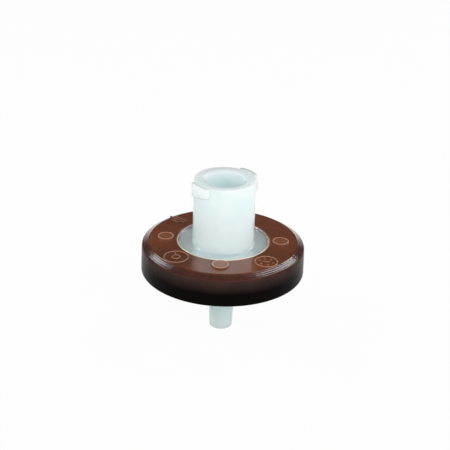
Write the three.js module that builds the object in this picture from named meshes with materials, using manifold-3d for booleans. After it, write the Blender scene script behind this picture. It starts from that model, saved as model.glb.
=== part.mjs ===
// A small syringe filter: a luer-lock inlet on a round disc, a membrane clamped between that disc
// and the disc of a narrow outlet tip, and a brown ring moulded round both rims to hold the stack.
// Millimetres, +Z up. The origin is the centre of the inlet's mouth, where a syringe joins on.

import * as THREE from "three";
import { mergeVertices } from "three/addons/utils/BufferGeometryUtils.js";
import Module from "manifold-3d";

const wasm = await Module();
wasm.setup();

// ---- Driving dimensions ----

const SIDES = 72; // sides of every turned shape, so that nested round faces match
const ARC_STEPS = 2; // a quarter round in a section gets twice this many steps

// Inlet hub: a female luer lock with a 6 % taper
const HUB_RADIUS = 3.33;
const HUB_DRAFT = 0.02; // the hub is this much wider in radius at its foot
const HUB_LENGTH = 7.4; // from the mouth to the disc
const HUB_EDGE = 0.12;
const HUB_FILLET = 0.35;
const BORE_RADIUS = 2.15; // at the mouth
const BORE_TAPER = 0.03; // radius lost in each millimetre of depth
const BORE_DEPTH = 7.7;
const MOUTH_CHAMFER = 0.2;
const THROAT_RADIUS = 1.25; // from the bore's floor to the inlet chamber
const THROAT_CONE = 0.35;

// Two lugs, with undersides on a right-hand helix
const LUG_RADIUS = 3.75;
const LUG_INNER = 3.0;
const LUG_SPAN = THREE.MathUtils.degToRad(44);
const LUG_ENDS = [-27, 153].map(THREE.MathUtils.degToRad); // thin ends, measured from the front (-Y)
const LUG_THIN = 1; // at the crest of the thin end
const LUG_FLANK = Math.tan(THREE.MathUtils.degToRad(25)); // slope of the underside towards the hub
const THREAD_LEAD = 5;
const LUG_STEPS = 10;

// Disc stack, from the top down
const LIP_RADIUS = 5.05; // inner edge of the ring, above and below
const LIP_HALF_WIDTH = 0.11;
const LIP_RISE = 0.28; // above the upper disc; under the lower disc the lip is half round
const FLANGE_RADIUS = 7.6;
const FLANGE_DROP = 0.55; // the flange lies this far under the disc's face
const HOUSING_THICKNESS = 1.5; // disc face to membrane
const CHAMBER_RADIUS = 6;
const CHAMBER_DEPTH = 0.4;
const MEMBRANE_RADIUS = 6.5;
const MEMBRANE_THICKNESS = 0.18;
const SEAT_CLEARANCE = 0.05;
const RIB_COUNT = 8;
const RIB_WIDTH = 0.45;
const RIB_OVERLAP = 0.1;

// Outlet: the support under the membrane and the narrow tip
const CHANNEL_COUNT = 12;
const CHANNEL_REACH = 5.9;
const CHANNEL_WIDTH = 0.35;
const CHANNEL_DEPTH = 0.4;
const DRAIN_RADIUS = 1.1;
const DRAIN_DEPTH = 0.6;
const TIP_BORE = 0.5;
const TIP_BASE_RADIUS = 1.45;
const TIP_END_RADIUS = 1.28;
const TIP_LENGTH = 7.35; // from the disc's underside to the end
const TIP_FILLET = 0.4;
const TIP_ROUND = 0.35;

// Brown ring moulded over the two flanges
const RING_RADIUS = 8.84; // under the bevel
const RING_DRAFT = 0.05; // wider in radius at the bottom
const RING_RISE = 0.24; // the ring's faces stand this far above and below the discs
const RING_DISH = 0.06; // the top face falls this much towards the bevel
const RING_EDGE = 0.1;
const BEVEL_WIDTH = 0.78;
const BEVEL_HEIGHT = 0.42;
const BEVEL_EASE = 0.18; // height over which the bevel turns into the wall
const BOTTOM_EDGE = 0.15;
const BUTTON_ANGLES = [-92, -2, 88, 178].map(THREE.MathUtils.degToRad); // from the front (-Y)
const BUTTON_ORBIT = 6.24;
const BUTTON_RADIUS = 0.9;
const BUTTON_HEIGHT = 0.2; // above the ring's face
const BUTTON_EDGE = 0.08; // chamfer
const BUTTON_ROOT = 0.3; // the part of the button inside the ring

// Heights that follow from these
const DISC_TOP = -HUB_LENGTH;
const FLANGE_TOP = DISC_TOP - FLANGE_DROP;
const SEAL = DISC_TOP - HOUSING_THICKNESS; // where the inlet housing meets membrane and outlet housing
const SEAT = SEAL - MEMBRANE_THICKNESS;
const DISC_BOTTOM = SEAL - HOUSING_THICKNESS;
const FLANGE_BOTTOM = DISC_BOTTOM + FLANGE_DROP;
const CHAMBER_ROOF = SEAL + CHAMBER_DEPTH;
const RING_TOP = DISC_TOP + RING_RISE;
const RING_BOTTOM = DISC_BOTTOM - RING_RISE;
const TIP_END = DISC_BOTTOM - TIP_LENGTH;

// ---- Materials ----

const naturalPlastic = new THREE.MeshStandardMaterial({ color: 0xe1ebea, roughness: 0.4, metalness: 0 });
const brownPlastic = new THREE.MeshStandardMaterial({ color: 0x5c3a2c, roughness: 0.3, metalness: 0 });
const membraneWhite = new THREE.MeshStandardMaterial({ color: 0xf6f6f2, roughness: 0.9, metalness: 0 });

// ---- Solids and meshes ----

// A closed geometry as a solid: only positions are kept, shared corners are merged,
// and triangles that have shrunk to a line are dropped.
function solid(geometry) {
  const bare = new THREE.BufferGeometry();
  bare.setAttribute("position", geometry.getAttribute("position"));
  bare.setIndex(geometry.index);
  const merged = mergeVertices(bare, 1e-4);
  const corners = merged.index.array;
  const kept = [];
  for (let i = 0; i < corners.length; i += 3) {
    const [a, b, c] = [corners[i], corners[i + 1], corners[i + 2]];
    if (a !== b && b !== c && c !== a) kept.push(a, b, c);
  }
  const vertProperties = merged.attributes.position.array;
  const triVerts = new Uint32Array(kept);
  return new wasm.Manifold(new wasm.Mesh({ numProp: 3, vertProperties, triVerts }));
}

// A section drawn as radius and height, turned about the Z axis.
function turned(section) {
  const points = section.getPoints(ARC_STEPS);
  return solid(new THREE.LatheGeometry(points, SIDES).rotateX(Math.PI / 2));
}

// A bar of the given width that runs outwards from the axis at an angle.
function radialBar(from, to, width, low, high, angle) {
  const bar = new THREE.BoxGeometry(to - from, width, high - low);
  bar.translate((from + to) / 2, 0, (low + high) / 2);
  return solid(bar.rotateZ(angle));
}

function mesh(name, body, material) {
  const { vertProperties, triVerts } = body.getMesh();
  const geometry = new THREE.BufferGeometry();
  geometry.setAttribute("position", new THREE.BufferAttribute(vertProperties, 3));
  geometry.setIndex(new THREE.BufferAttribute(triVerts, 1));
  const made = new THREE.Mesh(geometry.toNonIndexed(), material);
  made.geometry.computeVertexNormals();
  made.name = name;
  return made;
}

// An angle measured from the front (-Y), turned into one measured from +X.
const fromFront = (angle) => angle - Math.PI / 2;

// Directions that share the full turn equally.
const spread = (count) => Array.from({ length: count }, (_, i) => (i * 2 * Math.PI) / count);

// ---- Inlet housing ----

function inletSection() {
  const section = new THREE.Path();
  const footRadius = HUB_RADIUS + HUB_DRAFT;
  section.moveTo(FLANGE_RADIUS, SEAL);
  section.lineTo(FLANGE_RADIUS, FLANGE_TOP);
  section.lineTo(LIP_RADIUS, FLANGE_TOP);
  const lipCentre = DISC_TOP + LIP_RISE - LIP_HALF_WIDTH;
  section.absarc(LIP_RADIUS - LIP_HALF_WIDTH, lipCentre, LIP_HALF_WIDTH, 0, Math.PI, false);
  section.lineTo(LIP_RADIUS - 2 * LIP_HALF_WIDTH, DISC_TOP);
  section.absarc(footRadius + HUB_FILLET, DISC_TOP + HUB_FILLET, HUB_FILLET, -Math.PI / 2, -Math.PI, true);
  section.absarc(HUB_RADIUS - HUB_EDGE, -HUB_EDGE, HUB_EDGE, 0, Math.PI / 2, false);
  section.lineTo(BORE_RADIUS + MOUTH_CHAMFER, 0);
  section.lineTo(BORE_RADIUS - BORE_TAPER * MOUTH_CHAMFER, -MOUTH_CHAMFER);
  section.lineTo(BORE_RADIUS - BORE_TAPER * BORE_DEPTH, -BORE_DEPTH);
  section.lineTo(THROAT_RADIUS, -BORE_DEPTH - THROAT_CONE);
  section.lineTo(THROAT_RADIUS, CHAMBER_ROOF);
  section.lineTo(CHAMBER_RADIUS, CHAMBER_ROOF);
  section.lineTo(CHAMBER_RADIUS, SEAL);
  section.closePath();
  return section;
}

// One lug: a sector of a ring under the mouth, whose underside drops along the thread's helix.
function lug(thinEnd) {
  const end = fromFront(thinEnd);
  const outline = new THREE.Shape();
  outline.absarc(0, 0, LUG_RADIUS, end - LUG_SPAN, end, false);
  outline.absarc(0, 0, LUG_INNER, end, end - LUG_SPAN, true);
  const geometry = new THREE.ExtrudeGeometry(outline, {
    depth: 1,
    curveSegments: LUG_STEPS,
    bevelEnabled: false,
  });
  const place = geometry.getAttribute("position");
  for (let i = 0; i < place.count; i++) {
    const radius = Math.hypot(place.getX(i), place.getY(i));
    const turn = Math.atan2(place.getY(i), place.getX(i));
    const past = THREE.MathUtils.euclideanModulo(end - turn + 0.1, 2 * Math.PI) - 0.1;
    const helix = (THREAD_LEAD * past) / (2 * Math.PI);
    const depth = LUG_THIN + helix + (LUG_RADIUS - radius) * LUG_FLANK;
    place.setZ(i, (place.getZ(i) - 1) * depth);
  }
  return solid(geometry);
}

function inletHousing() {
  let body = turned(inletSection());
  for (const thinEnd of LUG_ENDS) body = body.add(lug(thinEnd));
  for (const angle of spread(RIB_COUNT)) {
    const from = THROAT_RADIUS + RIB_WIDTH;
    const to = CHAMBER_RADIUS + RIB_OVERLAP;
    body = body.add(radialBar(from, to, RIB_WIDTH, SEAL, CHAMBER_ROOF + RIB_OVERLAP, angle));
  }
  return body;
}

// ---- Membrane ----

function membrane() {
  const disc = new THREE.CylinderGeometry(MEMBRANE_RADIUS, MEMBRANE_RADIUS, MEMBRANE_THICKNESS, SIDES);
  return solid(disc.rotateX(Math.PI / 2).translate(0, 0, (SEAL + SEAT) / 2));
}

// ---- Outlet housing ----

function outletSection() {
  const section = new THREE.Path();
  const seatRadius = MEMBRANE_RADIUS + SEAT_CLEARANCE;
  section.moveTo(TIP_BORE, SEAT - DRAIN_DEPTH);
  section.lineTo(TIP_BORE, TIP_END);
  section.absarc(TIP_END_RADIUS - TIP_ROUND, TIP_END + TIP_ROUND, TIP_ROUND, -Math.PI / 2, 0, false);
  const filletRadius = TIP_BASE_RADIUS + TIP_FILLET;
  section.absarc(filletRadius, DISC_BOTTOM - TIP_FILLET, TIP_FILLET, Math.PI, Math.PI / 2, true);
  section.absarc(LIP_RADIUS - LIP_HALF_WIDTH, DISC_BOTTOM, LIP_HALF_WIDTH, Math.PI, 2 * Math.PI, false);
  section.lineTo(LIP_RADIUS, FLANGE_BOTTOM);
  section.lineTo(FLANGE_RADIUS, FLANGE_BOTTOM);
  section.lineTo(FLANGE_RADIUS, SEAL);
  section.lineTo(seatRadius, SEAL);
  section.lineTo(seatRadius, SEAT);
  section.lineTo(DRAIN_RADIUS, SEAT);
  section.closePath();
  return section;
}

// The membrane lies on the lands between radial channels, which lead to the drain in the middle.
function outletHousing() {
  let body = turned(outletSection());
  const channelFloor = SEAT - CHANNEL_DEPTH;
  for (const angle of spread(CHANNEL_COUNT)) {
    body = body.subtract(radialBar(TIP_BORE, CHANNEL_REACH, CHANNEL_WIDTH, channelFloor, SEAL, angle));
  }
  return body;
}

// ---- Overmoulded ring ----

function ringSection() {
  const section = new THREE.Path();
  const bevelTop = RING_TOP - RING_DISH;
  const bevelFoot = bevelTop - BEVEL_HEIGHT;
  const wide = RING_RADIUS + RING_DRAFT;
  section.moveTo(LIP_RADIUS, FLANGE_TOP);
  section.lineTo(FLANGE_RADIUS, FLANGE_TOP);
  section.lineTo(FLANGE_RADIUS, FLANGE_BOTTOM);
  section.lineTo(LIP_RADIUS, FLANGE_BOTTOM);
  section.absarc(LIP_RADIUS + RING_EDGE, RING_BOTTOM + RING_EDGE, RING_EDGE, Math.PI, 1.5 * Math.PI, false);
  section.absarc(wide - BOTTOM_EDGE, RING_BOTTOM + BOTTOM_EDGE, BOTTOM_EDGE, -Math.PI / 2, 0, false);
  section.lineTo(RING_RADIUS, bevelFoot - BEVEL_EASE);
  section.lineTo(RING_RADIUS - BEVEL_EASE / 3, bevelFoot);
  section.lineTo(RING_RADIUS - BEVEL_WIDTH, bevelTop);
  section.absarc(LIP_RADIUS + RING_EDGE, RING_TOP - RING_EDGE, RING_EDGE, Math.PI / 2, Math.PI, false);
  section.closePath();
  return section;
}

// A low round button, rooted in the ring's top face.
function button(angle) {
  const section = new THREE.Path();
  const low = RING_TOP - BUTTON_ROOT;
  const high = RING_TOP + BUTTON_HEIGHT;
  section.moveTo(0, low);
  section.lineTo(BUTTON_RADIUS, low);
  section.lineTo(BUTTON_RADIUS, high - BUTTON_EDGE);
  section.lineTo(BUTTON_RADIUS - BUTTON_EDGE, high);
  section.lineTo(0, high);
  const round = new THREE.LatheGeometry(section.getPoints(), SIDES / 3).rotateX(Math.PI / 2);
  const turn = fromFront(angle);
  return solid(round.translate(BUTTON_ORBIT * Math.cos(turn), BUTTON_ORBIT * Math.sin(turn), 0));
}

function overmouldRing() {
  let body = turned(ringSection());
  for (const angle of BUTTON_ANGLES) body = body.add(button(angle));
  return body;
}

// ---- The filter ----

const filter = new THREE.Group();
filter.name = "syringe_filter";
filter.add(mesh("inlet_housing", inletHousing(), naturalPlastic));
filter.add(mesh("membrane", membrane(), membraneWhite));
filter.add(mesh("outlet_housing", outletHousing(), naturalPlastic));
filter.add(mesh("overmould_ring", overmouldRing(), brownPlastic));

export default filter;
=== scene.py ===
# A small syringe filter, upright on a pale studio floor: a milky plastic inlet with a hub,
# a membrane under it, a milky outlet with a narrow tip, and a brown ring moulded round the two
# discs. Blender works in metres; sections are drawn in millimetres and scaled last.
import math

import bmesh
import bpy
from mathutils import Matrix, Vector


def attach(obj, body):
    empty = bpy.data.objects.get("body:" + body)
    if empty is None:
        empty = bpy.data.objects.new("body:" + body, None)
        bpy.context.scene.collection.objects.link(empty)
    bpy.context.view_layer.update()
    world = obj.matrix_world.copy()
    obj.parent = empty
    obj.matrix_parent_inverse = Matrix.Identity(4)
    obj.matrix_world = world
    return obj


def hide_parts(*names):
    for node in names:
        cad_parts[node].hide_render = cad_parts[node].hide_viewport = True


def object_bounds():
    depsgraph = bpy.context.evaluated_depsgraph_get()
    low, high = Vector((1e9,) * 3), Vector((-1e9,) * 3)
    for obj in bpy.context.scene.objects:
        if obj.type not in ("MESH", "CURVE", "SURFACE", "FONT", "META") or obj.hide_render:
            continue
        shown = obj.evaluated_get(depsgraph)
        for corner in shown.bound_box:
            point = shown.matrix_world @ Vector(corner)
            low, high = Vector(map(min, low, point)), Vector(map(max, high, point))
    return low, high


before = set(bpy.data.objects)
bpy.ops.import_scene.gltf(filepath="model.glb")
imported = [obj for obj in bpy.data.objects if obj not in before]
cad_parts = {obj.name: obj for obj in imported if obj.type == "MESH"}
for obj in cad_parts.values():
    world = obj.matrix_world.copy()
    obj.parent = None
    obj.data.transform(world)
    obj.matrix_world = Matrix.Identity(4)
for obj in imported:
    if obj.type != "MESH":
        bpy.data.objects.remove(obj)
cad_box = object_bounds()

scene = bpy.context.scene
scene.view_settings.view_transform = "Standard"


# ---- Camera ----
# A view through a long lens from the front, about 25 degrees above the filter, tipped a little
# to one side.

camera_distance = 0.12916
camera_elevation = math.radians(25.08)
camera_roll = math.radians(1.843)
camera_aim = Vector((0.000144, 0.0, -0.00543))

camera_data = bpy.data.cameras.new("camera")
camera_data.lens = 95.605
camera_data.clip_start = 0.01
camera = bpy.data.objects.new("camera", camera_data)
back = Vector((-0.00112, -math.cos(camera_elevation), math.sin(camera_elevation)))
camera.location = camera_aim + camera_distance * back
level = back.to_track_quat("Z", "Y").to_matrix().to_4x4()
camera.matrix_world = (
    Matrix.Translation(camera.location) @ level @ Matrix.Rotation(camera_roll, 4, "Z")
)
scene.collection.objects.link(camera)
scene.camera = camera


# ---- Studio ----
# A pale floor just under the outlet's tip, a dim room with a pale horizon, two large soft boxes
# in front, and small ones at the sides and behind. The floor is white from above, clear from below.

floor_size = 1.6
floor_colour = (0.8, 0.8, 0.8, 1)
floor_white_share = 0.96
floor_drop = 0.0002  # the tip hangs just clear of the floor

# Radiance of the room by the sine of the elevation
room_levels = [(0.0, 0.95), (0.07, 0.7), (0.16, 0.06), (0.6, 0.06), (1.0, 0.12)]

# Name, azimuth from the front, elevation, distance, width, height, radiance
soft_boxes = [
    ("right_front", 38, 28, 0.32, 0.36, 0.34, 2.4),
    ("left_front", -44, 28, 0.32, 0.34, 0.34, 1.35),
    ("right_low", 122, 22, 0.30, 0.08, 0.07, 6.0),
    ("left_low", -98, 30, 0.30, 0.09, 0.09, 8.0),
    ("right_strip", 133, 48, 0.30, 0.08, 0.18, 3.3),
    ("left_strip", -138, 42, 0.30, 0.05, 0.08, 7.0),
]


def floor_material():
    """White from above, apart from the shadow that the lamps leave on it."""
    material = bpy.data.materials.new("floor")
    material.use_nodes = True
    nodes, links = material.node_tree.nodes, material.node_tree.links
    surface = nodes["Principled BSDF"]
    surface.inputs["Base Color"].default_value = floor_colour
    surface.inputs["Roughness"].default_value = 0.9
    white = nodes.new("ShaderNodeEmission")
    rays = nodes.new("ShaderNodeLightPath")
    seen = None
    for ray in ("Is Camera Ray", "Is Glossy Ray", "Is Transmission Ray"):
        either = nodes.new("ShaderNodeMath")
        either.operation = "MAXIMUM"
        either.inputs[1].default_value = 0
        links.new(rays.outputs[ray], either.inputs[0])
        if seen:
            links.new(seen.outputs[0], either.inputs[1])
        seen = either
    share = nodes.new("ShaderNodeMath")
    share.operation = "MULTIPLY"
    share.inputs[1].default_value = floor_white_share
    lit = nodes.new("ShaderNodeMixShader")
    clear = nodes.new("ShaderNodeBsdfTransparent")
    side = nodes.new("ShaderNodeNewGeometry")
    mix = nodes.new("ShaderNodeMixShader")
    links.new(seen.outputs[0], share.inputs[0])
    links.new(share.outputs[0], lit.inputs[0])
    links.new(surface.outputs[0], lit.inputs[1])
    links.new(white.outputs[0], lit.inputs[2])
    links.new(side.outputs["Backfacing"], mix.inputs[0])
    links.new(lit.outputs[0], mix.inputs[1])
    links.new(clear.outputs[0], mix.inputs[2])
    links.new(mix.outputs[0], nodes["Material Output"].inputs["Surface"])
    return material


floor_mesh = bpy.data.meshes.new("floor")
bm = bmesh.new()
bmesh.ops.create_grid(bm, x_segments=1, y_segments=1, size=floor_size / 2)
bmesh.ops.translate(bm, vec=(0, 0, cad_box[0].z - floor_drop), verts=bm.verts)
bm.to_mesh(floor_mesh)
bm.free()
floor = bpy.data.objects.new("floor", floor_mesh)
floor_mesh.materials.append(floor_material())
scene.collection.objects.link(floor)

world = bpy.data.worlds.new("room")
world.use_nodes = True
scene.world = world
nodes, links = world.node_tree.nodes, world.node_tree.links
direction = nodes.new("ShaderNodeTexCoord")
height = nodes.new("ShaderNodeSeparateXYZ")
levels = nodes.new("ShaderNodeValToRGB")
while len(levels.color_ramp.elements) < len(room_levels):
    levels.color_ramp.elements.new(0.5)
for stop, (sine, radiance) in zip(levels.color_ramp.elements, room_levels):
    stop.position = sine
    stop.color = (radiance, radiance, radiance, 1)
links.new(direction.outputs["Generated"], height.inputs[0])
links.new(height.outputs["Z"], levels.inputs["Fac"])
links.new(levels.outputs["Color"], nodes["Background"].inputs["Color"])

for name, azimuth, elevation, distance, width, tall, radiance in soft_boxes:
    turn, lift = math.radians(azimuth), math.radians(elevation)
    towards = Vector((
        math.sin(turn) * math.cos(lift), -math.cos(turn) * math.cos(lift), math.sin(lift)
    ))
    lamp_data = bpy.data.lights.new(name, "AREA")
    lamp_data.shape = "RECTANGLE"
    lamp_data.size = width
    lamp_data.size_y = tall
    lamp_data.energy = radiance * math.pi * width * tall
    lamp = bpy.data.objects.new(name, lamp_data)
    lamp.location = camera_aim + distance * towards
    lamp.rotation_euler = towards.to_track_quat("Z", "Y").to_euler()
    scene.collection.objects.link(lamp)


# ---- Inlet housing ----
# The upper moulding, in natural polypropylene: a female luer lock hub with two thread lugs, on a
# disc whose thin rim the brown ring holds. Its underside is hollowed and ribbed over the membrane.

MM = 0.001
around = 160  # sides of a turned piece

hub_radius = 3.33
hub_foot = 3.35
hub_fillet = 0.35
hub_edge = 0.12
under_lugs = -2.6  # a corner in the hub's side, clear of the lugs
bore_mouth = 2.15
bore_end = 1.919
bore_depth = 7.7
mouth_chamfer = 0.2
throat_radius = 1.25
throat_height = -8.05
disc_face = -7.4
flange_face = -7.95
flange_radius = 7.6
seal = -8.9
lip_radius = 5.05
lip_width = 0.22
lip_rise = 0.28
chamber_radius = 6.0
chamber_roof = -8.5
lowest = -17.76  # the outlet's tip, where the painted shade and light by height, shared by both housings, ends


def turned(corners, closed=True, steps=around):
    """A section turned about the Z axis. A corner is its radius, its height and its rounding."""
    bm = bmesh.new()
    verts = [bm.verts.new((radius, 0, height)) for radius, height, _ in corners]
    for one, other in zip(verts, verts[1:] + verts[:1] if closed else verts[1:]):
        bm.edges.new((one, other))
    for rounding in sorted({corner[2] for corner in corners} - {0}):
        bmesh.ops.bevel(
            bm, geom=[v for v, corner in zip(verts, corners) if corner[2] == rounding],
            offset=rounding, offset_type="OFFSET", affect="VERTICES",
            segments=5, profile=0.5, material=-1,
        )
    bmesh.ops.spin(
        bm, geom=bm.verts[:] + bm.edges[:], cent=(0, 0, 0), axis=(0, 0, 1),
        angle=math.tau, steps=steps, use_merge=True,
    )
    bmesh.ops.remove_doubles(bm, verts=bm.verts, dist=1e-4)
    bmesh.ops.recalc_face_normals(bm, faces=bm.faces)
    return bm


def shaped(bm, cutters=(), joined=()):
    """The bmesh as a temporary object, with others joined to it or cut away."""
    def temporary(source):
        mesh = bpy.data.meshes.new("temporary")
        source.to_mesh(mesh)
        source.free()
        made = bpy.data.objects.new("temporary", mesh)
        scene.collection.objects.link(made)
        return made

    body = temporary(bm)
    others = []
    for operation, sources in (("UNION", joined), ("DIFFERENCE", cutters)):
        for source in sources:
            other = temporary(source)
            others.append(other)
            boolean = body.modifiers.new(operation, "BOOLEAN")
            boolean.operation = operation
            boolean.solver = "EXACT"
            boolean.object = other
    bpy.context.view_layer.update()
    evaluated = body.evaluated_get(bpy.context.evaluated_depsgraph_get())
    result = bmesh.new()
    result.from_mesh(evaluated.to_mesh())
    for each in [body, *others]:
        mesh = each.data
        bpy.data.objects.remove(each)
        bpy.data.meshes.remove(mesh)
    return result


def piece(bm, name, *materials, crease=35):
    """The finished piece, from millimetres to metres, smooth except at its creases."""
    bmesh.ops.remove_doubles(bm, verts=bm.verts, dist=1e-4)
    bmesh.ops.scale(bm, vec=(MM, MM, MM), verts=bm.verts)
    for face in bm.faces:
        face.smooth = True
    mesh = bpy.data.meshes.new(name)
    bm.to_mesh(mesh)
    bm.free()
    mesh.set_sharp_from_angle(angle=math.radians(crease))
    for material in materials:
        mesh.materials.append(material)
    made = bpy.data.objects.new(name, mesh)
    scene.collection.objects.link(made)
    flats = made.modifiers.new("true flats", "WEIGHTED_NORMAL")
    flats.keep_sharp = True
    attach(made, "root")
    return made


def span(nodes, links, source, low, high):
    """A value from 0 at low to 1 at high."""
    node = nodes.new("ShaderNodeMapRange")
    node.inputs["From Min"].default_value = low
    node.inputs["From Max"].default_value = high
    links.new(source, node.inputs["Value"])
    return node.outputs["Result"]


def ramp(nodes, links, source, *stops):
    """A colour that follows a value through the stops."""
    node = nodes.new("ShaderNodeValToRGB")
    while len(node.color_ramp.elements) < len(stops):
        node.color_ramp.elements.new(0.5)
    for element, (position, colour) in zip(node.color_ramp.elements, stops):
        element.position = position
        element.color = (*colour, 1)
    links.new(source, node.inputs["Fac"])
    return node.outputs["Color"]


def multiplied(nodes, links, one, other):
    """Two colours multiplied."""
    node = nodes.new("ShaderNodeMix")
    node.data_type = "RGBA"
    node.blend_type = "MULTIPLY"
    node.inputs["Factor"].default_value = 1
    links.new(one, node.inputs["A"])
    links.new(other, node.inputs["B"])
    return node.outputs["Result"]


def natural_plastic():
    """Milky polypropylene: light goes in and spreads, under a satin skin that is glossier on the
    discs. The discs are painted greyer than the hub as painted shade, the outlet is painted
    darker under the ring as painted shade and lighter at its tip as painted light, and the lips
    are painted warm as light bounced off the brown ring."""
    material = bpy.data.materials.new("natural_plastic")
    material.use_nodes = True
    nodes, links = material.node_tree.nodes, material.node_tree.links
    shader = nodes["Principled BSDF"]
    place = nodes.new("ShaderNodeTexCoord")
    part = nodes.new("ShaderNodeSeparateXYZ")
    flat = nodes.new("ShaderNodeVectorMath")
    flat.operation = "MULTIPLY"
    flat.inputs[1].default_value = (1, 1, 0)
    radius = nodes.new("ShaderNodeVectorMath")
    radius.operation = "LENGTH"
    links.new(place.outputs["Object"], part.inputs[0])
    links.new(place.outputs["Object"], flat.inputs[0])
    links.new(flat.outputs[0], radius.inputs[0])
    radius = radius.outputs["Value"]

    cloud = nodes.new("ShaderNodeTexNoise")
    cloud.inputs["Scale"].default_value = 350
    cloud.inputs["Detail"].default_value = 3
    links.new(place.outputs["Object"], cloud.inputs["Vector"])
    tint = ramp(
        nodes, links, cloud.outputs["Fac"], (0.3, (0.70, 0.92, 0.93)), (0.7, (0.77, 0.95, 0.96))
    )
    # Painted shade and light by height: darker from the discs down the outlet, where the ring's
    # shadow falls, and lighter towards the tip
    height = span(nodes, links, part.outputs["Z"], lowest * MM, 0)
    depth = ramp(
        nodes, links, height, (0.0, (0.95, 1.07, 1.0)), (0.06, (0.90, 1.02, 0.95)),
        (0.13, (0.78, 0.92, 0.86)), (0.21, (0.60, 0.73, 0.69)), (0.4, (0.62, 0.74, 0.71)),
        (0.585, (1, 1, 1)),
    )
    # Painted shade: the discs round the hub are painted greyer than the hub, standing in for the
    # shade they lie in
    over_disc = ramp(
        nodes, links, span(nodes, links, radius, hub_foot * MM, lip_radius * MM),
        (0.0, (1, 1, 1)), (0.06, (0.89, 0.88, 0.88)), (0.75, (0.89, 0.88, 0.88)),
    )
    painted_disc_shade = nodes.new("ShaderNodeMix")
    painted_disc_shade.data_type = "RGBA"
    painted_disc_shade.inputs["A"].default_value = (1, 1, 1, 1)
    on_disc = nodes.new("ShaderNodeMath")
    on_disc.operation = "MINIMUM"
    under_hub = span(
        nodes, links, part.outputs["Z"], (disc_face + hub_fillet) * MM, (disc_face + 0.1) * MM
    )
    over_seal = span(nodes, links, part.outputs["Z"], (seal - 0.1) * MM, seal * MM)
    links.new(under_hub, on_disc.inputs[0])
    links.new(over_seal, on_disc.inputs[1])
    links.new(on_disc.outputs[0], painted_disc_shade.inputs["Factor"])
    links.new(over_disc, painted_disc_shade.inputs["B"])
    # Painted light: the lips are painted warm, standing in for light bounced off the brown ring
    painted_ring_bounce = nodes.new("ShaderNodeMix")
    painted_ring_bounce.data_type = "RGBA"
    painted_ring_bounce.inputs["B"].default_value = (0.86, 0.48, 0.32, 1)
    near_ring = span(
        nodes, links, radius, (lip_radius - 1.5 * lip_width) * MM, (lip_radius - 0.5 * lip_width) * MM
    )
    links.new(near_ring, painted_ring_bounce.inputs["Factor"])
    painted_shade = multiplied(nodes, links, depth, painted_disc_shade.outputs["Result"])
    links.new(multiplied(nodes, links, tint, painted_shade), painted_ring_bounce.inputs["A"])
    links.new(painted_ring_bounce.outputs["Result"], shader.inputs["Base Color"])

    grain = nodes.new("ShaderNodeTexNoise")
    grain.inputs["Scale"].default_value = 5000
    grain.inputs["Detail"].default_value = 2
    links.new(place.outputs["Object"], grain.inputs["Vector"])
    gloss = nodes.new("ShaderNodeMapRange")
    gloss.inputs["To Min"].default_value = 0.13
    gloss.inputs["To Max"].default_value = 0.2
    links.new(cloud.outputs["Fac"], gloss.inputs["Value"])
    links.new(gloss.outputs["Result"], shader.inputs["Roughness"])
    bump = nodes.new("ShaderNodeBump")
    bump.inputs["Strength"].default_value = 0.1
    bump.inputs["Distance"].default_value = 0.00002
    links.new(grain.outputs["Fac"], bump.inputs["Height"])
    links.new(bump.outputs["Normal"], shader.inputs["Normal"])
    past_hub = span(nodes, links, radius, (hub_foot + 0.01) * MM, (hub_foot + 0.1) * MM)
    glazed = nodes.new("ShaderNodeMath")
    glazed.operation = "MINIMUM"
    between = nodes.new("ShaderNodeMath")
    between.operation = "SUBTRACT"
    between.use_clamp = True
    links.new(past_hub, glazed.inputs[0])
    links.new(over_seal, glazed.inputs[1])
    links.new(glazed.outputs[0], between.inputs[0])
    links.new(near_ring, between.inputs[1])
    links.new(between.outputs[0], shader.inputs["Coat Weight"])
    shader.inputs["Coat IOR"].default_value = 2.0
    shader.inputs["Coat Roughness"].default_value = 0.1
    shader.inputs["IOR"].default_value = 1.49
    shader.inputs["Specular IOR Level"].default_value = 0.3
    shader.inputs["Subsurface Weight"].default_value = 1.0
    shader.inputs["Subsurface Radius"].default_value = (0.9, 1.0, 1.0)
    shader.inputs["Subsurface Scale"].default_value = 0.004
    return material


# Thread lugs: their undersides follow a right-hand helix
lug_radius = 3.75
lug_inner = 3.0
lug_span = math.radians(44)
lug_ends = (-27, 153)  # thin ends, in degrees from the front
lug_thin = 1.0
lug_flank = math.tan(math.radians(25))
thread_lead = 5.0
lug_edge = 0.09


def lug(thin_end):
    """One lug, spun from its thin end and let down along the helix."""
    bm = bmesh.new()
    start = math.radians(thin_end - 90)
    low = -lug_thin
    low_inner = low - (lug_radius - lug_inner) * lug_flank
    corners = [
        bm.verts.new((radius * math.cos(start), radius * math.sin(start), height))
        for radius, height in (
            (lug_inner, 0), (lug_radius, 0), (lug_radius, low), (lug_inner, low_inner)
        )
    ]
    section = bm.faces.new(corners)
    steps = 24
    bmesh.ops.spin(
        bm, geom=[section], cent=(0, 0, 0), axis=(0, 0, 1),
        angle=-lug_span, steps=steps, use_merge=False,
    )
    for vert in bm.verts:
        past = (start - math.atan2(vert.co.y, vert.co.x)) % math.tau
        if past > math.pi:
            past = 0
        if vert.co.z < -0.5 * lug_thin:
            vert.co.z -= thread_lead * past / math.tau
    bmesh.ops.remove_doubles(bm, verts=bm.verts, dist=1e-4)
    bmesh.ops.recalc_face_normals(bm, faces=bm.faces)
    edges = [
        edge for edge in bm.edges
        if edge.calc_face_angle(0) > math.radians(30)
        and max(v.co.xy.length for v in edge.verts) > lug_inner + 0.1
    ]
    bmesh.ops.bevel(
        bm, geom=edges, offset=lug_edge, offset_type="OFFSET", affect="EDGES",
        segments=4, profile=0.5, material=-1,
    )
    return bm


rib_count = 8
rib_width = 0.45


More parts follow.
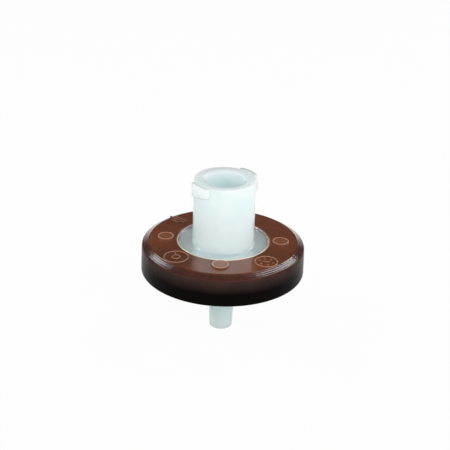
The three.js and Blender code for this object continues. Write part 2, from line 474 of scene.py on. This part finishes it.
def bar(start, end, width, low, high, angle):
    """A square bar that runs outwards from the axis."""
    bm = bmesh.new()
    bmesh.ops.create_cube(bm, size=1)
    bmesh.ops.scale(bm, vec=(end - start, width, high - low), verts=bm.verts)
    bmesh.ops.translate(bm, vec=((start + end) / 2, 0, (low + high) / 2), verts=bm.verts)
    bmesh.ops.rotate(bm, cent=(0, 0, 0), matrix=Matrix.Rotation(angle, 3, "Z"), verts=bm.verts)
    return bm


inlet = turned([
    (flange_radius, seal, 0),
    (flange_radius, flange_face, 0),
    (lip_radius, flange_face, 0),
    (lip_radius, disc_face + lip_rise, 0.1),
    (lip_radius - lip_width, disc_face + lip_rise, 0.1),
    (lip_radius - lip_width, disc_face, 0.06),
    (hub_foot, disc_face, hub_fillet),
    (hub_radius + (hub_foot - hub_radius) * under_lugs / disc_face, under_lugs, 0),
    (hub_radius, 0, hub_edge),
    (bore_mouth + mouth_chamfer, 0, 0.05),
    (bore_mouth, -mouth_chamfer, 0.05),
    (bore_end, -bore_depth, 0.12),
    (throat_radius, throat_height, 0.08),
    (throat_radius, chamber_roof, 0),
    (chamber_radius, chamber_roof, 0),
    (chamber_radius, seal, 0),
])
ribs = [
    bar(throat_radius + rib_width, chamber_radius + 0.1, rib_width, seal, chamber_roof + 0.1,
        step * math.tau / rib_count)
    for step in range(rib_count)
]
inlet = shaped(inlet, joined=[*map(lug, lug_ends), *ribs])
natural = natural_plastic()
inlet = piece(inlet, "inlet", natural)
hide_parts("inlet_housing")


# ---- Membrane ----
# A round sheet of white microporous film, punched out and clamped between the two housings.

membrane_radius = 6.5
membrane_under = -9.08


def membrane_film():
    """Matt white film with a fine tooth."""
    material = bpy.data.materials.new("membrane_film")
    material.use_nodes = True
    nodes, links = material.node_tree.nodes, material.node_tree.links
    shader = nodes["Principled BSDF"]
    place = nodes.new("ShaderNodeTexCoord")
    pores = nodes.new("ShaderNodeTexNoise")
    pores.inputs["Scale"].default_value = 9000
    pores.inputs["Detail"].default_value = 4
    tint = nodes.new("ShaderNodeValToRGB")
    tint.color_ramp.elements[0].color = (0.80, 0.80, 0.77, 1)
    tint.color_ramp.elements[1].color = (0.92, 0.92, 0.90, 1)
    bump = nodes.new("ShaderNodeBump")
    bump.inputs["Strength"].default_value = 0.4
    bump.inputs["Distance"].default_value = 0.00001
    links.new(place.outputs["Object"], pores.inputs["Vector"])
    links.new(pores.outputs["Fac"], tint.inputs["Fac"])
    links.new(tint.outputs["Color"], shader.inputs["Base Color"])
    links.new(pores.outputs["Fac"], bump.inputs["Height"])
    links.new(bump.outputs["Normal"], shader.inputs["Normal"])
    shader.inputs["Roughness"].default_value = 0.9
    return material


film = turned([
    (0, membrane_under, 0),
    (membrane_radius, membrane_under, 0.03),
    (membrane_radius, seal, 0.03),
    (0, seal, 0),
], closed=False)
film = piece(film, "membrane_disc", membrane_film())
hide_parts("membrane")


# ---- Outlet housing ----
# The lower moulding, of the same polypropylene: a disc whose channels carry the filtrate to the
# middle, and the narrow tip it leaves by. Its rim is held by the ring, as the inlet's is.

seat = -9.08
seat_radius = 6.55
disc_under = -10.4
flange_under = -9.85
under_lip = 0.11
tip_bore = 0.5
tip_base = 1.45
tip_radius = 1.28
tip_end = -17.75
tip_round = 0.35
tip_fillet = 0.4
drain_radius = 1.1
drain_floor = -9.68
channel_count = 12
channel_reach = 5.9
channel_width = 0.35
channel_floor = -9.48

outlet = turned([
    (tip_bore, drain_floor, 0),
    (tip_bore, tip_end, 0.06),
    (tip_radius, tip_end, tip_round),
    (tip_base, disc_under, tip_fillet),
    (lip_radius - lip_width, disc_under, 0),
    (lip_radius - lip_width, disc_under - under_lip, 0.1),
    (lip_radius, disc_under - under_lip, 0.1),
    (lip_radius, flange_under, 0),
    (flange_radius, flange_under, 0),
    (flange_radius, seal, 0),
    (seat_radius, seal, 0),
    (seat_radius, seat, 0),
    (drain_radius, seat, 0),
])
channels = [
    bar(tip_bore, channel_reach, channel_width, channel_floor, seal + 0.1,
        step * math.tau / channel_count)
    for step in range(channel_count)
]
outlet = piece(shaped(outlet, cutters=channels), "outlet", natural)
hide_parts("outlet_housing")


# ---- Overmoulded ring ----
# Brown polypropylene, moulded round both rims to seal the stack. Its face carries four round
# ejector buttons, two mould dials and an index mark, and its edge has the stub of the gate.

ring_radius = 8.84
ring_wide = 8.89
ring_top = -7.16
ring_bottom = -10.64
ring_edge = 0.1
bevel_top = -7.22
bevel_inner = 8.06
bevel_foot = -7.64
bevel_outer = 8.78
wall_top = -7.82
tool_marks = (0.2, 0.48, 0.74)  # turned grooves, as shares of the bevel's width from its foot
tool_mark_width = 0.1
tool_mark_depth = 0.014

button_angles = (-92, -2, 88, 178)  # in degrees from the front
button_orbit = 6.24
button_radius = 0.9
button_height = 0.2
button_rim = 0.13
button_sink = 0.04
button_root = 0.3  # how far a button reaches into the ring
mark_width = 0.13
mark_height = 0.06
mark_root = 0.1  # how far a mark reaches into the ring

dial_angle = -47.4
dial_orbit = 6.66
dial_radius = 1.28
dial_eye = 0.42
pointer = (0.55, 55, -0.62, 0.45)  # length, angle and place on the dial
dotted_angle = 42.7
dotted_orbit = 6.78
dotted_radius = 1.18
dot_count = 6
dot_orbit = 0.72
dot_radius = 0.1
dash = (0.7, 40)  # length and angle
index_angle = -133
index_orbit = 7.05
index_bars = [(2.0, -0.45), (2.0, 0.0), (1.0, 0.45)]  # length and place across

gate_angle = -135
gate_orbit = 8.42
gate_foot = 0.2  # radius of the stub at its foot
gate_top = 0.15
gate_rise = 0.08
gate_root = 0.3
gate_sink = 0.2  # under the upper edge of the bevel
gate_dimple = 0.05  # radius and height of the hollow in its end

red_from = 7.85  # the pale skin over the white rims starts to give way here
red_full = 8.3
face_brown = (0.176, 0.049, 0.018)
rim_red = (0.064, 0.016, 0.009)
# Painted highlight on the crests of the marks and of the buttons' rims
painted_edge_highlight = (0.46, 0.21, 0.12)
# The wall's colours are painted light and shade: a greyer brown for its sheen, a lighter red at its
# top for glow, and black at the bottom for shade
painted_sheen_brown = (0.034, 0.020, 0.018)
painted_glow_brown = (0.055, 0.022, 0.017)
painted_shade_black = (0.002, 0.001, 0.001)

face_slope = math.atan2(ring_top - bevel_top, bevel_inner - lip_radius)
bevel_slope = math.atan2(bevel_top - bevel_foot, bevel_outer - bevel_inner)


def face_height(radius):
    """Height of the ring's dished face."""
    return ring_top - (radius - lip_radius) * math.tan(face_slope)


def brown_face():
    """The face and the bevel, glossy: a thin, paler skin over the white rims, deep red past
    them, swirls of tone that carry painted light and shade, and painted highlights on the raised
    edges."""
    material = bpy.data.materials.new("brown_plastic")
    material.use_nodes = True
    nodes, links = material.node_tree.nodes, material.node_tree.links
    shader = nodes["Principled BSDF"]
    place = nodes.new("ShaderNodeTexCoord")
    flat = nodes.new("ShaderNodeVectorMath")
    flat.operation = "MULTIPLY"
    flat.inputs[1].default_value = (1, 1, 0)
    radius = nodes.new("ShaderNodeVectorMath")
    radius.operation = "LENGTH"
    outwards = nodes.new("ShaderNodeVectorMath")
    outwards.operation = "NORMALIZE"
    links.new(place.outputs["Object"], flat.inputs[0])
    links.new(flat.outputs[0], radius.inputs[0])
    links.new(flat.outputs[0], outwards.inputs[0])
    radius = radius.outputs["Value"]

    def drawn_out(turns, scale, detail, seed=0):
        """Noise in polar form: few turns stretch it along a radius, many along a circle."""
        part = nodes.new("ShaderNodeSeparateXYZ")
        times = nodes.new("ShaderNodeMath")
        times.operation = "MULTIPLY"
        times.inputs[1].default_value = turns
        polar = nodes.new("ShaderNodeCombineXYZ")
        noise = nodes.new("ShaderNodeTexNoise")
        noise.noise_dimensions = "4D"
        noise.inputs["W"].default_value = seed
        noise.inputs["Scale"].default_value = scale
        noise.inputs["Detail"].default_value = detail
        links.new(outwards.outputs[0], part.inputs[0])
        links.new(radius, times.inputs[0])
        links.new(part.outputs["X"], polar.inputs["X"])
        links.new(part.outputs["Y"], polar.inputs["Y"])
        links.new(times.outputs[0], polar.inputs["Z"])
        links.new(polar.outputs[0], noise.inputs["Vector"])
        return noise.outputs["Fac"]

    across = ramp(
        nodes, links, span(nodes, links, radius, red_from * MM, red_full * MM),
        (0.0, face_brown), (1.0, rim_red),
    )
    streaks = drawn_out(25, 22, 4)
    # Large swirls of tone, with a seed chosen so that they fall lighter at the front and darker on
    # the left, as painted light and shade
    tone_and_painted_light = ramp(
        nodes, links, drawn_out(60, 1.7, 3, 5), (0.3, (0.68, 0.78, 0.85)), (0.7, (1.25, 1.15, 1.1))
    )
    fine = ramp(nodes, links, streaks, (0.3, (0.9, 0.9, 0.9)), (0.7, (1.1, 1.1, 1.1)))
    mottle = multiplied(nodes, links, tone_and_painted_light, fine)
    # Painted highlight: the crests carry a lighter tan, set by the ring's edge weights
    edge = nodes.new("ShaderNodeAttribute")
    edge.attribute_name = "edge"
    lit_edges = nodes.new("ShaderNodeMix")
    lit_edges.data_type = "RGBA"
    lit_edges.inputs["B"].default_value = (*painted_edge_highlight, 1)
    links.new(edge.outputs["Fac"], lit_edges.inputs["Factor"])
    links.new(multiplied(nodes, links, across, mottle), lit_edges.inputs["A"])
    links.new(lit_edges.outputs["Result"], shader.inputs["Base Color"])

    # Faint ripples run out along the face, and fine turning scratches run round the bevel
    rippled = nodes.new("ShaderNodeBump")
    rippled.inputs["Distance"].default_value = 0.00002
    links.new(streaks, rippled.inputs["Height"])
    scored = nodes.new("ShaderNodeBump")
    links.new(rippled.outputs["Normal"], scored.inputs["Normal"])
    scored.inputs["Distance"].default_value = 0.000007
    links.new(drawn_out(3000, 6, 5), scored.inputs["Height"])
    on_bevel = span(nodes, links, radius, (bevel_inner - 0.05) * MM, (bevel_inner + 0.05) * MM)
    links.new(on_bevel, scored.inputs["Strength"])
    polish = ramp(
        nodes, links, span(nodes, links, radius, bevel_inner * MM, (bevel_outer - 0.06) * MM),
        (0.0, (0.55, 0.55, 0.55)), (0.1, (1, 1, 1)), (0.86, (1, 1, 1)), (1.0, (0, 0, 0)),
    )
    links.new(polish, shader.inputs["Coat Weight"])
    links.new(scored.outputs["Normal"], shader.inputs["Coat Normal"])
    cloud = nodes.new("ShaderNodeTexNoise")
    cloud.inputs["Scale"].default_value = 700
    cloud.inputs["Detail"].default_value = 4
    links.new(place.outputs["Object"], cloud.inputs["Vector"])
    gloss = nodes.new("ShaderNodeMapRange")
    gloss.inputs["To Min"].default_value = 0.285
    gloss.inputs["To Max"].default_value = 0.37
    smoother = nodes.new("ShaderNodeMath")
    smoother.operation = "MULTIPLY_ADD"
    smoother.inputs[1].default_value = -0.14
    links.new(cloud.outputs["Fac"], gloss.inputs["Value"])
    links.new(on_bevel, smoother.inputs[0])
    links.new(gloss.outputs["Result"], smoother.inputs[2])
    links.new(smoother.outputs[0], shader.inputs["Roughness"])
    orange_peel = nodes.new("ShaderNodeBump")
    orange_peel.inputs["Strength"].default_value = 0.1
    orange_peel.inputs["Distance"].default_value = 0.00003
    links.new(cloud.outputs["Fac"], orange_peel.inputs["Height"])
    links.new(scored.outputs["Normal"], orange_peel.inputs["Normal"])
    links.new(orange_peel.outputs["Normal"], shader.inputs["Normal"])

    shader.inputs["IOR"].default_value = 1.53
    shader.inputs["Specular IOR Level"].default_value = 0.2
    shader.inputs["Coat IOR"].default_value = 1.8
    shader.inputs["Coat Roughness"].default_value = 0.14
    shader.inputs["Subsurface Weight"].default_value = 0.25
    shader.inputs["Subsurface Radius"].default_value = (1.0, 0.25, 0.1)
    shader.inputs["Subsurface Scale"].default_value = 0.0004
    return material


def brown_wall():
    """The wall and the underside, duller: painted black towards the bottom as painted shade, a greyer
    brown above as painted sheen, and a lighter red at the top as painted glow.
    """
    material = bpy.data.materials.new("brown_plastic_wall")
    material.use_nodes = True
    nodes, links = material.node_tree.nodes, material.node_tree.links
    shader = nodes["Principled BSDF"]
    place = nodes.new("ShaderNodeTexCoord")
    part = nodes.new("ShaderNodeSeparateXYZ")
    links.new(place.outputs["Object"], part.inputs[0])
    up = span(nodes, links, part.outputs["Z"], ring_bottom * MM, bevel_foot * MM)
    # Painted shade and sheen: black at the bottom, greyer brown above, lighter red at the top
    depth = ramp(
        nodes, links, up, (0.0, painted_shade_black), (0.45, painted_shade_black), (0.85, painted_sheen_brown), (1.0, painted_glow_brown)
    )
    cloud = nodes.new("ShaderNodeTexNoise")
    cloud.inputs["Scale"].default_value = 500
    cloud.inputs["Detail"].default_value = 4
    links.new(place.outputs["Object"], cloud.inputs["Vector"])
    mottle = ramp(nodes, links, cloud.outputs["Fac"], (0.2, (0.8, 0.8, 0.8)), (0.8, (1.2, 1.2, 1.2)))
    links.new(multiplied(nodes, links, depth, mottle), shader.inputs["Base Color"])
    gloss = nodes.new("ShaderNodeMapRange")
    gloss.inputs["To Min"].default_value = 0.22
    gloss.inputs["To Max"].default_value = 0.34
    links.new(cloud.outputs["Fac"], gloss.inputs["Value"])
    links.new(gloss.outputs["Result"], shader.inputs["Roughness"])
    bump = nodes.new("ShaderNodeBump")
    bump.inputs["Strength"].default_value = 0.1
    bump.inputs["Distance"].default_value = 0.00003
    links.new(cloud.outputs["Fac"], bump.inputs["Height"])
    links.new(bump.outputs["Normal"], shader.inputs["Normal"])
    shader.inputs["IOR"].default_value = 1.49
    shader.inputs["Specular IOR Level"].default_value = 0.03
    return material


def placed(bm, angle, orbit):
    """Moves a mark from the axis to its place on the ring's dished face."""
    turn = math.radians(angle - 90)
    tilt = Matrix.Rotation(math.radians(angle), 3, "Z") @ Matrix.Rotation(face_slope, 3, "X")
    bmesh.ops.rotate(bm, cent=(0, 0, 0), matrix=tilt, verts=bm.verts)
    place = (orbit * math.cos(turn), orbit * math.sin(turn), face_height(orbit))
    bmesh.ops.translate(bm, vec=place, verts=bm.verts)
    return bm


def button(angle):
    """A round button with a thin raised rim, left by the end of an ejector pin."""
    floor_height = button_height - button_sink
    bm = turned([
        (0, -button_root, 0),
        (button_radius, -button_root, 0),
        (button_radius, button_height, 0.05),
        (button_radius - button_rim, button_height, 0.04),
        (button_radius - button_rim - button_sink, floor_height, 0),
        (0, floor_height, 0),
    ], closed=False, steps=64)
    return placed(bm, angle, button_orbit)


def ridge_ring(radius, steps=72):
    """A thin raised circle."""
    inner, outer = radius - mark_width / 2, radius + mark_width / 2
    return turned([
        (inner, -mark_root, 0),
        (inner, mark_height, 0.05),
        (outer, mark_height, 0.05),
        (outer, -mark_root, 0),
    ], steps=steps)


def stud(radius, x=0.0, y=0.0):
    """A small raised dot."""
    bm = turned([
        (0, -mark_root, 0), (radius, -mark_root, 0), (radius, mark_height, 0.05), (0, mark_height, 0)
    ], closed=False, steps=24)
    bmesh.ops.translate(bm, vec=(x, y, 0), verts=bm.verts)
    return bm


def ridge(length, angle=0.0, x=0.0, y=0.0):
    """A thin raised bar, along Y before it is turned."""
    bm = bmesh.new()
    bmesh.ops.create_cube(bm, size=1)
    bmesh.ops.scale(bm, vec=(mark_width, length, mark_root + mark_height), verts=bm.verts)
    bmesh.ops.translate(bm, vec=(0, 0, (mark_height - mark_root) / 2), verts=bm.verts)
    top_edges = [edge for edge in bm.edges if all(v.co.z > 0 for v in edge.verts)]
    bmesh.ops.bevel(
        bm, geom=top_edges, offset=0.05, offset_type="OFFSET", affect="EDGES",
        segments=3, profile=0.5, material=-1,
    )
    bmesh.ops.rotate(
        bm, cent=(0, 0, 0), matrix=Matrix.Rotation(math.radians(angle), 3, "Z"), verts=bm.verts
    )
    bmesh.ops.translate(bm, vec=(x, y, 0), verts=bm.verts)
    return bm


def across_bevel(share, depth=0.0):
    """A corner of the section on the bevel, or a little under it."""
    radius = bevel_outer + (bevel_inner - bevel_outer) * share
    height = bevel_foot + (bevel_top - bevel_foot) * share
    return (radius - depth * math.sin(bevel_slope), height - depth * math.cos(bevel_slope), 0)


def gate_stub():
    """The broken end of the sprue, on the upper edge."""
    bm = turned([
        (0, -gate_root, 0),
        (gate_foot, -gate_root, 0),
        (gate_top, gate_rise, 0.04),
        (gate_dimple, gate_dimple, 0),
        (0, gate_dimple, 0),
    ], closed=False, steps=20)
    turn = math.radians(gate_angle - 90)
    place = (gate_orbit * math.cos(turn), gate_orbit * math.sin(turn), bevel_top - gate_sink)
    bmesh.ops.translate(bm, vec=place, verts=bm.verts)
    return bm


half_mark = tool_mark_width / 2 / ((bevel_outer - bevel_inner) / math.cos(bevel_slope))
grooves = [
    across_bevel(share + step * half_mark, tool_mark_depth * (step == 0))
    for share in tool_marks for step in (-1, 0, 1)
]
ring = turned([
    (lip_radius, flange_face, 0),
    (flange_radius, flange_face, 0),
    (flange_radius, flange_under, 0),
    (lip_radius, flange_under, 0),
    (lip_radius, ring_bottom, ring_edge),
    (ring_wide, ring_bottom, 0.15),
    (ring_radius, wall_top, 0.05),
    (bevel_outer, bevel_foot, 0.05),
    *grooves,
    (bevel_inner, bevel_top, 0.06),
    (lip_radius, ring_top, ring_edge),
])

dial = [
    placed(mark, dial_angle, dial_orbit)
    for mark in (ridge_ring(dial_radius), ridge_ring(dial_eye, 40), ridge(*pointer))
]
dot_turns = [step * math.tau / dot_count for step in range(dot_count)]
dots = [
    stud(dot_radius, dot_orbit * math.cos(turn), dot_orbit * math.sin(turn)) for turn in dot_turns
]
dotted_dial = [
    placed(mark, dotted_angle, dotted_orbit)
    for mark in (ridge_ring(dotted_radius), ridge(*dash), *dots)
]
index_marks = [
    placed(ridge(length, 0, across), index_angle, index_orbit) for length, across in index_bars
]
raised = [button(angle) for angle in button_angles]
ring = shaped(ring, joined=[*raised, *dial, *dotted_dial, *index_marks, gate_stub()])

# Painted highlight: the crests of the marks and of the buttons' rims are painted lighter, standing in
# for the light they catch
edge = ring.verts.layers.float.new("edge")
for vert in ring.verts:
    radius = vert.co.xy.length
    rise = vert.co.z - face_height(radius)
    on_mark = 0.02 < rise < 1.5 * mark_height
    on_rim = rise > button_height - 0.3 * button_sink
    on_button = rise > button_height - 1.3 * button_sink
    if radius < bevel_inner - 0.02:
        vert[edge] = 1 if on_rim else 0.7 * on_mark + 0.2 * on_button
for face in ring.faces:
    face.material_index = 0 if face.calc_center_median().z > bevel_foot - 0.03 else 1
ring = piece(ring, "ring", brown_face(), brown_wall())
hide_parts("overmould_ring")
